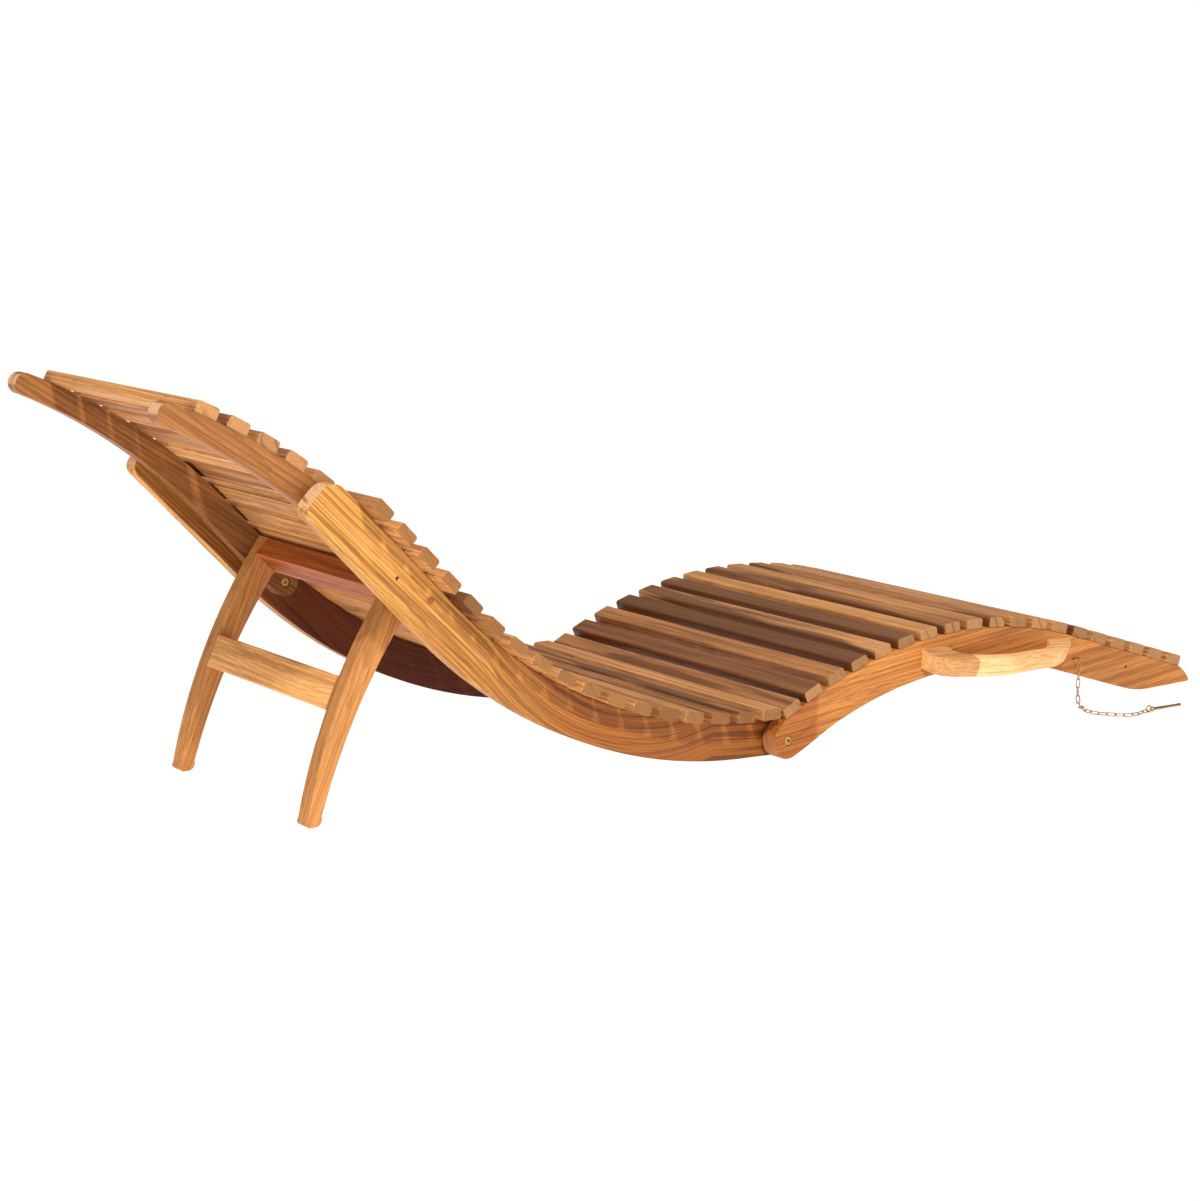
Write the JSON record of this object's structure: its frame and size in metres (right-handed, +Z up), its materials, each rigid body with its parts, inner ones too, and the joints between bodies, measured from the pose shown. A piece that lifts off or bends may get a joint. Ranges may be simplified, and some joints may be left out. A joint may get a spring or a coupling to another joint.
{
  "type": "folding deck chair",
  "caption": "Folding wooden deck chair with an S-curved slatted seat, separate head and foot sections on pivots, a leg frame, a carrying handle and a chained brass locking pin",
  "frame": {"origin": "centre of the bounding box in plan, on the floor", "axes": "+X from the head end to the foot end, +Y across the slats to the side without the handle, +Z up"},
  "size_m": [1.8818, 0.7256, 0.5984],
  "materials": {
    "teak": "oiled, open grain",
    "brass": "satin"
  },
  "bodies": {
    "middle": {"slat_back_01": "teak", "slat_back_02": "teak", "slat_back_03": "teak", "slat_back_04": "teak", "slat_back_05": "teak", "slat_back_06": "teak", "slat_back_07": "teak", "slat_back_08": "teak", "slat_back_09": "teak", "slat_back_10": "teak", "slat_back_11": "teak", "slat_back_12": "teak", "slat_back_13": "teak", "slat_back_14": "teak", "slat_back_15": "teak", "slat_back_16": "teak", "slat_back_17": "teak", "middle_rail_near": "teak", "middle_rail_far": "teak", "rail_plugs": "teak", "hinge_bolts": "brass", "hinge_washers": "brass", "head_pivot_bolts": "brass"},
    "foot": {"slat_foot_01": "teak", "slat_foot_02": "teak", "slat_foot_03": "teak", "slat_foot_04": "teak", "slat_foot_05": "teak", "slat_foot_06": "teak", "slat_foot_07": "teak", "slat_foot_08": "teak", "slat_foot_09": "teak", "slat_foot_10": "teak", "slat_foot_11": "teak", "slat_foot_12": "teak", "slat_foot_13": "teak", "slat_foot_14": "teak", "slat_foot_15": "teak", "slat_foot_16": "teak", "slat_foot_17": "teak", "slat_foot_18": "teak", "slat_foot_19": "teak", "foot_rail_near": "teak", "foot_rail_far": "teak", "handle": "teak", "staple": "brass", "chain": "brass", "lock_pin": "brass"},
    "head": {"slat_head_1": "teak", "slat_head_2": "teak", "slat_head_3": "teak", "slat_head_4": "teak", "slat_head_5": "teak", "head_rail_near": "teak", "head_rail_far": "teak", "leg_pivot_bolts": "brass"},
    "legs": {"leg_near": "teak", "leg_far": "teak", "top_bar": "teak", "lower_bar": "teak"}
  },
  "joints": [
    {"name": "foot_fold", "type": "hinge", "parent": "middle", "child": "foot", "pos_m": [0.04793, 0.0628, 0.028], "axis": [0, 1, 0], "range_deg": [0, 176]},
    {"name": "head_fold", "type": "hinge", "parent": "middle", "child": "head", "pos_m": [-0.52207, 0.0628, 0.257], "axis": [0, -1, 0], "range_deg": [0, 188]},
    {"name": "leg_fold", "type": "hinge", "parent": "head", "child": "legs", "pos_m": [-0.56307, 0.0628, 0.308], "axis": [0, 1, 0], "range_deg": [0, 100]}
  ],
  "couplings": [
    {"joint": "leg_fold", "follows": "head_fold", "ratio": 0.53}
  ]
}
